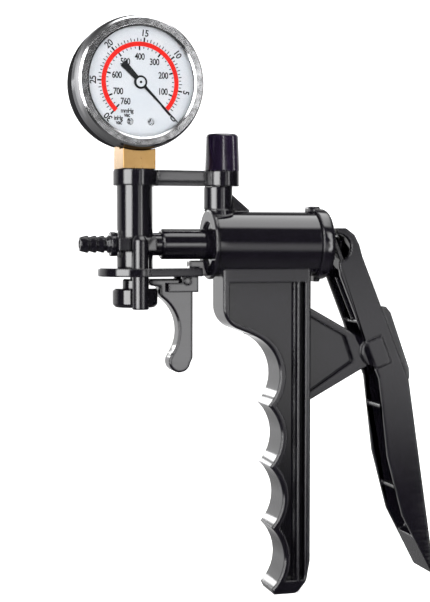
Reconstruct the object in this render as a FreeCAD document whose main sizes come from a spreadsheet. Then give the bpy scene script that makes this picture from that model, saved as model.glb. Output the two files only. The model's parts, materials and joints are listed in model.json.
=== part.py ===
import FreeCAD, Part
import math
import os
import re

import Sketcher
from FreeCAD import Placement, Rotation, Vector

# Hand vacuum pump: a lever-driven piston pump with a scalloped grip, a release valve with a
# finger trigger, a hose barb and a dial gauge.
# Origin: on the barrel axis, where the hose butts on the barb's collar. +X runs from the barb
# to the squeeze lever, +Z is up, and the dial faces -Y. Millimetres throughout.

doc = FreeCAD.newDocument("hand_vacuum_pump")
sheet = doc.addObject("Spreadsheet::Sheet", "dims")

DIMENSIONS = [
    ("barrel_front", 34.4), ("barrel_rear", 70.0), ("barrel_radius", 10.9), ("barrel_bore", 8.7),
    ("flange_radius", 11.8), ("flange_front", 33.0), ("flange_inner", 38.0), ("socket_radius", 7.5),
    ("sleeve_front", 16.85), ("sleeve_radius", 5.05), ("sleeve_rear", 36.4), ("passage_radius", 1.4),
    ("column_x", 8.4), ("column_radius", 5.9), ("column_top", 24.4), ("plate_top", -7.8),
    ("column_bore", 2.5), ("neck_radius", 3.8), ("neck_end", 22.0), ("spigot_radius", 4.6),
    ("barb_tip", -10.0), ("barb_pitch", 2.6), ("barb_crest", 2.85), ("barb_root", 2.3),
    ("barb_land", 0.5), ("barb_bore", 1.3), ("collar_radius", 4.0), ("collar_length", 1.8),
    ("plate_radius", 12.2), ("plate_thick", 2.75), ("tongue_end", 29.4), ("tongue_half", 8.0),
    ("vent_y", -8.4), ("vent_radius", 2.7), ("vent_bottom", -21.1), ("vent_top", 2.8),
    ("knob_radius", 7.4), ("knob_top", -14.5), ("knob_bottom", -20.7), ("stem_radius", 4.1),
    ("trigger_x", 24.7), ("trigger_z", -12.0), ("trigger_pin_radius", 1.2), ("trigger_half", 3.5),
    ("toe_radius", 3.65), ("hollow_radius", 13.4), ("heel_radius", 3.2),
    ("cheek_inner", 4.2), ("cheek_outer", 6.2), ("cheek_bottom", -15.75), ("running_gap", 0.05),
    ("strap_bottom", 19.1), ("strap_top", 24.2), ("strap_half", 4.0), ("ring_radius", 7.1),
    ("post_x", 38.1), ("post_radius", 4.8), ("post_offset", 1.3), ("post_ring_radius", 5.7),
    ("post_spigot", 3.4),
    ("cap_top", 36.5), ("cap_bottom_radius", 5.8), ("cap_top_radius", 5.4), ("rib_half", 1.25),
    ("shank_width", 11.0), ("thread_radius", 4.85), ("gauge_turn", 5.0), ("gauge_z", 52.1),
    ("case_radius", 21.0), ("case_back", -9.0), ("case_front", 4.4), ("case_wall", 1.4),
    ("bezel_radius", 21.6), ("bezel_front_radius", 20.7), ("bezel_front", 9.2),
    ("window_radius", 17.7), ("dial_radius", 19.3), ("dial_face", 6.5), ("dial_thick", 0.6),
    ("pointer_plane", 7.0), ("pointer_length", 17.7), ("pointer_tail", 8.3),
    ("pinion_radius", 0.8), ("seal_depth", 0.7),
    ("cap_radius", 12.0), ("cap_rear", 74.65), ("bush_rear", 74.3), ("bush_radius", 6.0),
    ("rod_radius", 3.6), ("rod_neck_radius", 2.2), ("rod_end", 80.8), ("rod_head_front", 78.9),
    ("rod_neck_front", 73.8), ("head_front", 39.4), ("head_rear", 43.4), ("head_radius", 8.4),
    ("spring_radius", 6.2), ("spring_wire", 0.5), ("spring_turns", 6.0),
    ("stem_spring_radius", 2.05), ("stem_spring_wire", 0.28), ("stem_spring_turns", 4.0),
    ("stem_spring_low", -10.4), ("stem_spring_length", 4.6),
    ("grip_half", 7.0), ("neck_front", 36.7), ("neck_corner_z", -26.1), ("neck_corner_radius", 8.0),
    ("scallop_radius", 14.6), ("scallop_first_x", 41.8), ("scallop_first_z", -44.0),
    ("scallop_pitch", 20.6), ("scallop_step", 0.55), ("grip_bottom", -118.0), ("grip_rear", 67.3),
    ("rim_width", 2.1), ("rim_round", 0.8), ("panel_depth", 3.4), ("panel_rear", 62.5),
    ("groove_width", 1.9),
    ("pivot_x", 91.25), ("pivot_z", -36.75), ("pivot_pin_radius", 2.0), ("boss_radius", 5.0),
    ("boss_half", 5.7), ("web_half", 4.0), ("web_panel_half", 1.8), ("web_round", 0.5),
    ("lever_half", 8.0), ("channel_half", 6.0), ("fork_x", 76.4), ("fork_thick", 1.6),
]
VALUES = dict(DIMENSIONS)

TURN = VALUES["gauge_turn"]

for row, (alias, number) in enumerate(DIMENSIONS, start=1):
    sheet.set("A%d" % row, alias)
    sheet.set("B%d" % row, str(number))
    sheet.setAlias("B%d" % row, alias)
doc.recompute()

TURNS = {
    "Z": Rotation(),
    "X": Rotation(Vector(0, 1, 0), 90),
    "Y": Rotation(Vector(1, 0, 0), -90),
}
SUBPARTS = {}


def formula(text):
    """A formula over the sheet: every word with an underscore is one of its aliases."""
    return re.sub(r"\b[a-z]+_[a-z_]+\b", lambda word: "dims." + word.group(0), str(text))


def place(item, at):
    """Bind where an item stands to formulas over the sheet."""
    for axis, text in zip("xyz", at):
        item.setExpression("Placement.Base." + axis, formula(text))


def cylinder(name, radius, length, at, along="Z"):
    """A round bar that starts at a point and runs along +X, +Y or +Z."""
    item = doc.addObject("Part::Cylinder", name)
    item.Placement = Placement(Vector(), TURNS[along])
    item.setExpression("Radius", formula(radius))
    item.setExpression("Height", formula(length))
    place(item, at)
    return item


def cone(name, start, end, length, at, along="Z"):
    """A tapered round bar with its start and end radii."""
    item = doc.addObject("Part::Cone", name)
    item.Placement = Placement(Vector(), TURNS[along])
    item.setExpression("Radius1", formula(start))
    item.setExpression("Radius2", formula(end))
    item.setExpression("Height", formula(length))
    place(item, at)
    return item


def box(name, x, y, z):
    """A block given by the pairs of formulas that bound it."""
    item = doc.addObject("Part::Box", name)
    for side, (low, high) in zip(("Length", "Width", "Height"), (x, y, z)):
        item.setExpression(side, formula("(%s) - (%s)" % (high, low)))
    place(item, (x[0], y[0], z[0]))
    return item


def fuse(name, *items):
    """Several solids joined into one."""
    item = doc.addObject("Part::MultiFuse", name)
    item.Shapes = list(items)
    item.Refine = True
    return item


def cut(name, base, *tools):
    """A solid with other solids taken away."""
    item = doc.addObject("Part::Cut", name)
    item.Base = base
    item.Tool = tools[0] if len(tools) == 1 else fuse(name + "_tools", *tools)
    return item


def tube(name, outer, inner, length, at, along="Z"):
    """A ring or sleeve."""
    return cut(name, cylinder(name + "_outside", outer, length, at, along),
               cylinder(name + "_inside", inner, length, at, along))


def sketch_in(body, plane, corners):
    """A closed outline of straight edges, each corner a pair of formulas over the sheet."""
    sketch = body.newObject("Sketcher::SketchObject", body.Name + "_outline")
    origin_plane = [item for item in body.Origin.OriginFeatures if item.Role == plane][0]
    sketch.AttachmentSupport = [(origin_plane, "")]
    sketch.MapMode = "FlatFace"
    count = len(corners)
    start = [Vector(10 * math.cos(2 * math.pi * i / count), 10 * math.sin(2 * math.pi * i / count), 0)
             for i in range(count)]
    for i in range(count):
        sketch.addGeometry(Part.LineSegment(start[i], start[(i + 1) % count]), False)
    for i in range(count):
        sketch.addConstraint(Sketcher.Constraint("Coincident", i, 2, (i + 1) % count, 1))
    for i, corner in enumerate(corners):
        for kind, text, number in zip(("DistanceX", "DistanceY"), corner, start[i]):
            index = sketch.addConstraint(Sketcher.Constraint(kind, -1, 1, i, 1, number))
            sketch.setExpression("Constraints[%d]" % index, formula(text))
    return sketch


def slab(name, plane, corners, thickness, start=None):
    """An outline padded evenly to both sides of its plane, or upwards from a height."""
    body = doc.addObject("PartDesign::Body", name)
    sketch = sketch_in(body, plane, corners)
    pad = body.newObject("PartDesign::Pad", name + "_pad")
    pad.Profile = sketch
    if start is None:
        pad.SideType = "Symmetric"
    else:
        sketch.setExpression("AttachmentOffset.Base.z", formula(start))
    pad.setExpression("Length", formula(thickness))
    doc.recompute()
    return body


def turned(name, corners, spin="H_Axis"):
    """An outline turned once round the sketch's horizontal (X) or vertical (Z) axis."""
    body = doc.addObject("PartDesign::Body", name)
    sketch = sketch_in(body, "XZ_Plane", corners)
    turn = body.newObject("PartDesign::Revolution", name + "_turn")
    turn.Profile = sketch
    turn.ReferenceAxis = (sketch, [spin])
    turn.Angle = 360
    doc.recompute()
    return body


def rounded(name, base, radius, choose):
    """Round those edges of a solid that the choose function accepts."""
    doc.recompute()
    item = doc.addObject("Part::Fillet", name)
    item.Base = base
    item.Edges = [(i + 1, radius, radius) for i, edge in enumerate(base.Shape.Edges) if choose(edge)]
    return item


def subpart(node, item):
    """Name an object as one of the pump's pieces."""
    item.Label = node
    SUBPARTS[node] = item


def face_gauge(item):
    """Turn a piece drawn about +Z so that +Z becomes the dial's outward normal."""
    upright = Rotation(Vector(1, 0, 0), 90)
    turn = Rotation(Vector(0, 0, 1), TURN).multiply(upright)
    centre = Vector(VALUES["column_x"], 0, VALUES["gauge_z"])
    item.Placement = Placement(centre, turn).multiply(item.Placement)
    return item


def shape_piece(node, shape):
    """A piece whose shape is worked out here, for forms that no feature makes."""
    item = doc.addObject("Part::Feature", node)
    item.Shape = shape
    return item


# ---------------------------------------------------------------- pump body
def scallops(name, extra, half):
    """The four finger hollows of the grip, each a round bar across it."""
    bars = []
    for i in range(4):
        x = "scallop_first_x + %d * scallop_step" % i
        z = "scallop_first_z - %d * scallop_pitch" % i
        bars.append(cylinder("%s_%d" % (name, i), "scallop_radius + %s" % extra,
                             "2 * (%s)" % half, (x, "-(%s)" % half, z), "Y"))
    return bars


def grip_outline(inset):
    """The grip's side outline before its hollows, inset by a formula."""
    cusp_x = "scallop_first_x + 10.2 + 1.1 * (%s)" % inset
    cusps = []
    for i in range(3):
        x = "%s + %d * scallop_step" % (cusp_x, i)
        cusps.append((x, "scallop_first_z - %s * scallop_pitch" % (i + 0.5)))
    return [
        ("neck_front + %s" % inset, "-6 - 3.2 * (%s)" % inset),
        ("neck_front + %s" % inset, "neck_corner_z + 0.8 * (%s)" % inset),
        ("scallop_first_x + 5.4", "scallop_first_z + 13.7 + 0.6 * (%s)" % inset),
    ] + cusps + [
        (cusp_x + " + 3 * scallop_step", "scallop_first_z - 3.5 * scallop_pitch"),
        (cusp_x + " + 3 * scallop_step + 1.0", "grip_bottom + %s" % inset),
        ("grip_rear - 4.6", "grip_bottom + %s" % inset),
        ("grip_rear - 1.3 - 0.5 * (%s)" % inset, "grip_bottom + 4"),
        ("grip_rear - 0.5 * (%s)" % inset, "grip_bottom + 11"),
        ("grip_rear - 0.5 * (%s)" % inset, "-6 - 3.2 * (%s)" % inset),
    ]


def grip():
    """The scalloped handle, with a sunk panel and a groove on each side."""
    blank = slab("grip_blank", "XZ_Plane", grip_outline("0"), "2 * grip_half")
    body = cut("grip_scalloped", blank, *scallops("hollow", "0", "grip_half + 1"))
    corner = rounded("grip_corner", body, VALUES["neck_corner_radius"],
                     edge_near(VALUES["neck_front"], VALUES["neck_corner_z"]))
    rear, bottom = VALUES["grip_rear"], VALUES["grip_bottom"]
    heel = rounded("grip_heel", corner, VALUES["heel_radius"], edge_near(rear - 4.6, bottom))
    heel = rounded("grip_heel_top", heel, VALUES["heel_radius"], edge_near(rear - 1.3, bottom + 4))
    inner = slab("grip_inner", "XZ_Plane", grip_outline("rim_width"), "2 * grip_half + 2")
    inner = cut("grip_recess", inner, *scallops("inner_hollow", "rim_width", "grip_half + 2"))
    tools = []
    for side, (low, high) in {"near": ("-grip_half - 1", "panel_depth - grip_half"),
                              "far": ("grip_half - panel_depth", "grip_half + 1")}.items():
        area = fuse("panel_area_" + side,
                    box("panel_" + side, ("0", "panel_rear"), (low, high), ("grip_bottom + 4.5", "0")),
                    box("groove_" + side, ("panel_rear + 0.9", "panel_rear + 0.9 + groove_width"),
                        (low, high), ("grip_bottom + 4.5", "0")))
        sunk = doc.addObject("Part::Common", "sunk_" + side)
        sunk.Base = inner
        sunk.Tool = area
        tools.append(sunk)
    sunk_grip = cut("grip_sunk", heel, *tools)
    return rounded("grip", sunk_grip, VALUES["rim_round"], side_outline(sunk_grip, VALUES["grip_half"]))


def side_outline(item, half):
    """A test for the edges round the outside of an item's two flat sides."""
    doc.recompute()
    chosen = []
    for face in item.Shape.Faces:
        if face.BoundBox.YLength < 0.001 and abs(abs(face.BoundBox.YMax) - half) < 0.001:
            chosen += face.OuterWire.Edges
    return lambda edge: any(edge.isSame(other) for other in chosen)


def edge_near(x, z):
    """A test for the edge across the pump whose middle lies at a point of the middle plane."""
    return lambda edge: (edge.BoundBox.Center - Vector(x, 0, z)).Length < 0.5


def pivot_web():
    """The bracket behind the grip that carries the lever's pivot."""
    web = slab("pivot_web", "XZ_Plane", [
        ("grip_rear - 1.2", "-20.4"), ("pivot_x - 4.7", "pivot_z + 4.9"), ("pivot_x", "pivot_z + 4"),
        ("pivot_x", "pivot_z - 4"), ("pivot_x - 5.2", "pivot_z - 6.4"), ("grip_rear - 1.2", "-53.9"),
    ], "2 * web_half")
    panel = slab("web_panel", "XZ_Plane", [
        ("grip_rear + 0.7", "-24.2"), ("pivot_x - 10.4", "pivot_z + 5.4"),
        ("pivot_x - 7.4", "pivot_z - 3.2"), ("grip_rear + 0.7", "-50.2"),
    ], "2 * web_half + 2")
    core = box("web_core", ("grip_rear", "pivot_x"), ("-web_panel_half", "web_panel_half"),
               ("-52", "-22"))
    sunk = cut("web_sunk", panel, core)
    boss = cylinder("pivot_boss", "boss_radius", "2 * boss_half", ("pivot_x", "-boss_half", "pivot_z"),
                    "Y")
    sunk_web = cut("web_cut", web, sunk)
    soft = rounded("web_soft", sunk_web, VALUES["web_round"],
                   side_outline(sunk_web, VALUES["web_half"]))
    return fuse("web", soft, boss)


def post():
    """The upright on the barrel that holds the brace strap, with its root and fin."""
    root = box("post_root", ("barrel_front", "post_x"), ("-rib_half", "rib_half"), ("9.5", "12"))
    fin = slab("post_fin", "XZ_Plane", [("post_x + 3", "9.8"), ("post_x + 3", "16.6"),
                                        ("post_x + 9.1", "11.4"), ("post_x + 9.1", "9.8")],
               "2 * rib_half")
    return [
        cylinder("post_stem", "post_radius", "strap_bottom - 9.2", ("post_x - post_offset", "0", "9")),
        cylinder("post_collar", "post_radius + 0.7", "3.4", ("post_x - post_offset", "0", "8")),
        cylinder("post_spigot_stem", "post_spigot", "30 - strap_bottom + 0.2",
                 ("post_x", "0", "strap_bottom - 0.2")),
        root, fin,
    ]


def pump_body():
    """Barrel, post, grip and lever bracket in one moulding."""
    barrel = cylinder("barrel", "barrel_radius", "barrel_rear - barrel_front", ("barrel_front", "0", "0"),
                      "X")
    bore = cylinder("barrel_hole", "barrel_bore", "barrel_rear - barrel_front + 2",
                    ("barrel_front - 1", "0", "0"), "X")
    pivot_hole = cylinder("pivot_hole", "pivot_pin_radius + running_gap", "2 * boss_half + 2",
                          ("pivot_x", "-boss_half - 1", "pivot_z"), "Y")
    solid = fuse("body_solid", barrel, grip(), pivot_web(), *post())
    flange_room = cylinder("flange_room", "flange_radius + 0.02", "5", ("barrel_front - 5", "0", "0"), "X")
    subpart("pump_body", cut("pump_body", solid, bore, pivot_hole, flange_room))


# ---------------------------------------------------------------- front of the barrel
def front_end():
    """The flange that closes the barrel, its inlet valve and the sleeve in it."""
    disc = turned("flange_blank", [
        ("flange_front", "0"), ("flange_front", "flange_radius - 0.4"),
        ("flange_front + 0.4", "flange_radius"), ("barrel_front", "flange_radius"),
        ("barrel_front", "barrel_bore - 0.02"), ("flange_inner", "barrel_bore - 0.02"),
        ("flange_inner", "0"),
    ])
    recess = cylinder("flange_recess", "socket_radius", "1", ("flange_front - 0.01", "0", "0"), "X")
    socket = cylinder("flange_socket", "sleeve_radius", "sleeve_rear - flange_front + 1",
                      ("flange_front - 1", "0", "0"), "X")
    valve_hole = cylinder("flange_hole", "passage_radius", "6", ("flange_front", "0", "0"), "X")
    valve_room = cylinder("flange_room", "4", "2", ("flange_inner - 1.1", "0", "0"), "X")
    subpart("front_flange", cut("front_flange", disc, recess, socket, valve_hole, valve_room))

    sleeve = turned("sleeve_blank", [
        ("sleeve_front", "neck_radius + 0.05"), ("sleeve_front", "sleeve_radius - 0.5"),
        ("sleeve_front + 0.5", "sleeve_radius"), ("sleeve_rear", "sleeve_radius"),
        ("sleeve_rear", "passage_radius"), ("neck_end + 0.5", "passage_radius"),
        ("neck_end + 0.5", "neck_radius + 0.05"),
    ])
    subpart("outlet_sleeve", sleeve)
    subpart("neck_seal", tube("neck_seal", "neck_radius + 0.05", "neck_radius - seal_depth", "1.4",
                              ("sleeve_front + 2", "0", "0"), "X"))
    flap = cylinder("inlet_flap", "3.6", "0.5", ("flange_inner - 1.1", "0", "0"), "X")
    nub = cylinder("inlet_nub", "0.7", "1.4", ("flange_inner - 2.4", "0", "0"), "X")
    subpart("inlet_valve", fuse("inlet_valve", flap, nub))


# ---------------------------------------------------------------- valve column
def valve_column():
    """The upright that joins hose, gauge, barrel and release valve."""
    shaft = cylinder("column_shaft", "column_radius", "column_top - plate_top",
                     ("column_x", "0", "plate_top"))
    spigot = cylinder("column_spigot", "spigot_radius", "plate_thick + 0.1",
                      ("column_x", "0", "plate_top - plate_thick - 0.1"))
    neck = cylinder("column_neck", "neck_radius", "neck_end - column_x", ("column_x", "0", "0"), "X")
    block = box("column_block", ("column_x - 6.5", "column_x + 6.2"), ("-5.5", "5.5"), ("-2.2", "2"))
    pad = box("column_pad", ("collar_length", "column_x - 2.5"), ("-6.4", "6.4"), ("-2.2", "2"))
    square = box("column_square", ("collar_length", "column_x - 5.2"), ("-4", "4"), ("-4", "4"))
    solid = fuse("column_solid", shaft, spigot, neck, block, pad, square)
    groove = tube("column_groove", "neck_radius + 1", "neck_radius - seal_depth", "1.4",
                  ("sleeve_front + 2", "0", "0"), "X")
    holes = [
        cylinder("column_across", "passage_radius", "neck_end", ("barb_tip + 12", "0", "0"), "X"),
        cylinder("column_barb_hole", "barb_root", "4.2", ("0.8", "0", "0"), "X"),
        cylinder("column_valve_bore", "column_bore", "plate_thick + 7", ("column_x", "0", "-10.7")),
        cylinder("column_mouth", "column_bore", "2", ("column_x", "0", "-11.5")),
        cylinder("column_riser", "passage_radius", "20", ("column_x", "0", "-4")),
        cylinder("column_gauge_bore", "thread_radius", "14", ("column_x", "0", "12.5")),
    ]
    subpart("valve_column", cut("valve_column", solid, groove, *holes))
    subpart("gauge_seal", tube("gauge_seal", "thread_radius", "2", "1", ("column_x", "0", "12.5")))
    subpart("valve_seat", tube("valve_seat", "column_bore", "passage_radius", "0.7",
                               ("column_x", "0", "-1.65")))


def hose_barb():
    """A fitting with three barbs, a plain land against the collar and a threaded root."""
    corners = [("barb_tip", "barb_bore"), ("barb_tip", "barb_root")]
    for i in range(3):
        crest = "barb_tip + 2.3 + %d * barb_pitch" % i
        corners += [(crest, "barb_crest"), (crest + " + barb_land", "barb_crest"),
                    (crest + " + barb_land + 0.15", "barb_root")]
    corners += [
        ("-1.0", "barb_root"), ("-0.8", "barb_crest"), ("0", "barb_crest"), ("0", "collar_radius"),
        ("collar_length", "collar_radius"), ("collar_length", "barb_root"), ("5", "barb_root"),
        ("5", "barb_bore"),
    ]
    subpart("hose_barb", turned("barb_turned", corners))


def finger_plate():
    """The round plate under the column, with a tongue that bears on the barrel's flange."""
    disc = cylinder("plate_disc", "plate_radius", "plate_thick", ("column_x", "0", "plate_top - plate_thick"))
    tongue = slab("plate_tongue", "XY_Plane", [
        ("column_x + 2.5", "0.979 * plate_radius"), ("column_x + 2.5", "-0.979 * plate_radius"),
        ("tongue_end", "-tongue_half"), ("tongue_end", "tongue_half"),
    ], "plate_thick", "plate_top - plate_thick")
    stay = box("plate_stay", ("tongue_end - 3", "flange_front"), ("-2.2", "2.2"),
               ("plate_top - 1.2", "-5.4"))
    hook = box("plate_hook", ("tongue_end - 0.6", "flange_front"), ("-2.2", "2.2"),
               ("plate_top - plate_thick", "-5.4"))
    hole = cylinder("plate_hole", "spigot_radius", "6", ("column_x", "0", "-12"))
    vent_hole = cylinder("plate_vent_hole", "vent_radius", "6", ("column_x", "vent_y", "-12"))
    solid = fuse("plate_solid", disc, tongue, stay, hook)
    subpart("finger_plate", cut("finger_plate", solid, hole, vent_hole))


def vent_tube():
    """The small upright tube in front of the column, with a domed top."""
    stem = cylinder("vent_stem", "vent_radius", "vent_top - 1.6 - vent_bottom",
                    ("column_x", "vent_y", "vent_bottom"))
    crown = cone("vent_crown", "vent_radius", "vent_radius - 1.3", "1.6",
                 ("column_x", "vent_y", "vent_top - 1.6"))
    hole = cylinder("vent_hole", "1.1", "16", ("column_x", "vent_y", "vent_bottom - 1"))
    bridge = box("vent_bridge", ("column_x - 0.9", "column_x + 0.9"), ("vent_y", "-5.5"), ("-1.6", "1.4"))
    column = cylinder("vent_column_room", "column_radius", "60", ("column_x", "0", "-30"))
    block = box("vent_block_room", ("column_x - 6.5", "column_x + 6.2"), ("-5.5", "5.5"), ("-2.2", "2"))
    subpart("vent_tube", cut("vent_tube", fuse("vent_solid", stem, crown, bridge), hole, column, block))


# ---------------------------------------------------------------- release valve
def release_valve():
    """The stem and knob that the trigger pushes down, with the seal and spring on them."""
    stem = turned("stem_blank", [
        ("0", "knob_top"), ("stem_radius", "knob_top"), ("stem_radius", "-11.9"),
        ("stem_radius - 0.5", "-11.4"), ("1.6", "-11.4"), ("1.6", "-3.6"), ("2.2", "-3.3"),
        ("2.2", "-2.6"), ("1.5", "-1.8"), ("0", "-1.8"),
    ], "V_Axis")
    stem.setExpression("Placement.Base.x", formula("column_x"))
    subpart("release_stem", stem)
    knob = turned("knob_blank", [
        ("0", "knob_top"), ("knob_radius - 0.5", "knob_top"), ("knob_radius", "knob_top - 0.5"),
        ("knob_radius", "knob_bottom + 1"), ("knob_radius - 1", "knob_bottom"), ("0", "knob_bottom"),
    ], "V_Axis")
    knob.setExpression("Placement.Base.x", formula("column_x"))
    notch = cylinder("knob_notch", "vent_radius + 0.35", "10", ("column_x", "vent_y", "-23"))
    subpart("release_knob", cut("release_knob", knob, notch))
    subpart("stem_seal", tube("stem_seal", "column_bore - running_gap", "1.6", "0.9",
                              ("column_x", "0", "-5.2")))


def coil(name, mean, wire, turns, length):
    """A spring along +Z, made of tilted half rings that meet face to face."""
    rise = (length - 2 * wire) / (2 * turns)
    halves = []
    for k in range(int(2 * turns)):
        side = (-1) ** k
        start = Vector(side * mean, 0, wire + k * rise)
        end = Vector(-side * mean, 0, wire + (k + 1) * rise)
        section = Part.Face(Part.Wire([Part.Edge(Part.Circle(start, Vector(0, 1, 0), wire))]))
        halves.append(section.revolve((start + end) / 2, Vector(side * rise, 0, 2 * mean), 180))
    return shape_piece(name, halves[0].fuse(halves[1:]))


def springs():
    """The piston's return spring and the release stem's small spring."""
    spring = coil("return_spring", VALUES["spring_radius"], VALUES["spring_wire"],
                  VALUES["spring_turns"], VALUES["barrel_rear"] - VALUES["head_rear"] - 0.1)
    along = Placement(Vector(VALUES["head_rear"] + 0.05, 0, 0), TURNS["X"])
    spring.Placement = along.multiply(spring.Placement)
    subpart("return_spring", spring)
    small = coil("stem_spring", VALUES["stem_spring_radius"], VALUES["stem_spring_wire"],
                 VALUES["stem_spring_turns"], VALUES["stem_spring_length"])
    upright = Placement(Vector(VALUES["column_x"], 0, VALUES["stem_spring_low"]), Rotation())
    small.Placement = upright.multiply(small.Placement)
    subpart("stem_spring", small)


def trigger():
    """The release trigger, its bracket and its pin."""
    blade = slab("trigger_blade", "XZ_Plane", [
        ("trigger_x + 2.5", "trigger_z + 0.65"), ("trigger_x - 12", "trigger_z + 0.65"),
        ("trigger_x - 12", "trigger_z - 1.5"), ("trigger_x - 8.7", "trigger_z - 2"),
        ("trigger_x - 8.7", "trigger_z - 4"), ("trigger_x - 4.6", "trigger_z - 24.5"),
        ("trigger_x + 0.9", "trigger_z - 29"), ("trigger_x + 2.5", "trigger_z - 25.6"),
    ], "2 * trigger_half")
    toe = cylinder("trigger_toe", "toe_radius", "2 * trigger_half",
                   ("trigger_x - 1.95", "-trigger_half", "trigger_z - 26.75"), "Y")
    hollow = cylinder("trigger_hollow", "hollow_radius", "2 * trigger_half + 2",
                      ("trigger_x - 15.7", "-trigger_half - 1", "trigger_z - 16.5"), "Y")
    eye = cylinder("trigger_eye", "trigger_pin_radius + running_gap", "2 * trigger_half + 2",
                   ("trigger_x", "-trigger_half - 1", "trigger_z"), "Y")
    subpart("release_trigger", cut("release_trigger", fuse("trigger_solid", blade, toe), hollow, eye))

    cheeks = []
    for side, low, high in (("near", "-cheek_outer", "-cheek_inner"), ("far", "cheek_inner", "cheek_outer")):
        cheeks.append(box("cheek_block_" + side, ("trigger_x - 1.8", "trigger_x + 3.7"), (low, high),
                          ("cheek_bottom", "plate_top - plate_thick")))
        cheeks.append(box("cheek_bar_" + side, ("trigger_x - 6.4", "trigger_x"), (low, high),
                          ("cheek_bottom", "trigger_z - 0.7")))
    bridge = box("cheek_bridge", ("trigger_x + 2.75", "trigger_x + 3.7"), ("-cheek_outer", "cheek_outer"),
                 ("trigger_z + 0.3", "plate_top - plate_thick"))
    hole = cylinder("cheek_hole", "trigger_pin_radius", "2 * cheek_outer + 2",
                    ("trigger_x", "-cheek_outer - 1", "trigger_z"), "Y")
    subpart("trigger_bracket", cut("trigger_bracket", fuse("bracket_solid", bridge, *cheeks), hole))
    subpart("trigger_pin", cylinder("trigger_pin", "trigger_pin_radius", "2 * cheek_outer + 0.2",
                                    ("trigger_x", "-cheek_outer - 0.1", "trigger_z"), "Y"))


# ---------------------------------------------------------------- strap and cap
def brace():
    """The strap that ties the column's top to the post, and the cap on the post."""
    ring = cylinder("strap_ring", "ring_radius", "column_top - strap_bottom",
                    ("column_x", "0", "strap_bottom"))
    eye = cylinder("strap_eye", "post_ring_radius", "strap_top - strap_bottom",
                   ("post_x", "0", "strap_bottom"))
    bar = box("strap_bar", ("column_x + 7", "post_x - 7"), ("-strap_half", "strap_half"),
              ("strap_bottom", "strap_top"))
    web = box("strap_web", ("column_x + 6", "post_x - 4"), ("0.7 - strap_half", "strap_half - 0.7"),
              ("strap_bottom + 0.2", "strap_top - 0.2"))
    solid = fuse("strap_solid", ring, eye, bar, web)
    tools = [
        cylinder("strap_column_hole", "column_radius", "8", ("column_x", "0", "strap_bottom - 1")),
        cylinder("strap_post_hole", "post_spigot", "8", ("post_x", "0", "strap_bottom - 1")),
    ]
    for side, (low, high) in {"near": ("-strap_half - 1", "0.35 - strap_half"),
                              "far": ("strap_half - 0.35", "strap_half + 1")}.items():
        tools.append(box("strap_groove_" + side, ("column_x + 6.5", "post_x - 6"), (low, high),
                         ("strap_bottom + 1.1", "strap_bottom + 1.5")))
    subpart("brace_strap", cut("brace_strap", solid, *tools))
    cap = turned("cap_blank", [
        ("0", "strap_top"), ("cap_bottom_radius", "strap_top"), ("cap_top_radius", "cap_top - 0.7"),
        ("cap_top_radius - 0.7", "cap_top"), ("0", "cap_top"),
    ], "V_Axis")
    cap.setExpression("Placement.Base.x", formula("post_x"))
    subpart("post_cap", cut("post_cap", cap, cylinder("cap_hole", "post_spigot", "30.5 - strap_top",
                                                      ("post_x", "0", "strap_top - 0.5"))))


# ---------------------------------------------------------------- gauge
def gauge_disc(name, radius, low, high, hole=None):
    """A disc or ring about the gauge's axis, between two depths."""
    shape = Part.makeCylinder(radius, high - low, Vector(0, 0, low))
    if hole:
        shape = shape.cut(Part.makeCylinder(hole, high - low, Vector(0, 0, low)))
    return face_gauge(shape_piece(name, shape))


def revolved(points):
    """A solid turned about +Z from (radius, depth) points."""
    face = Part.Face(Part.makePolygon([Vector(r, 0, z) for r, z in points + points[:1]]))
    return face.revolve(Vector(), Vector(0, 0, 1), 360)


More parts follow.
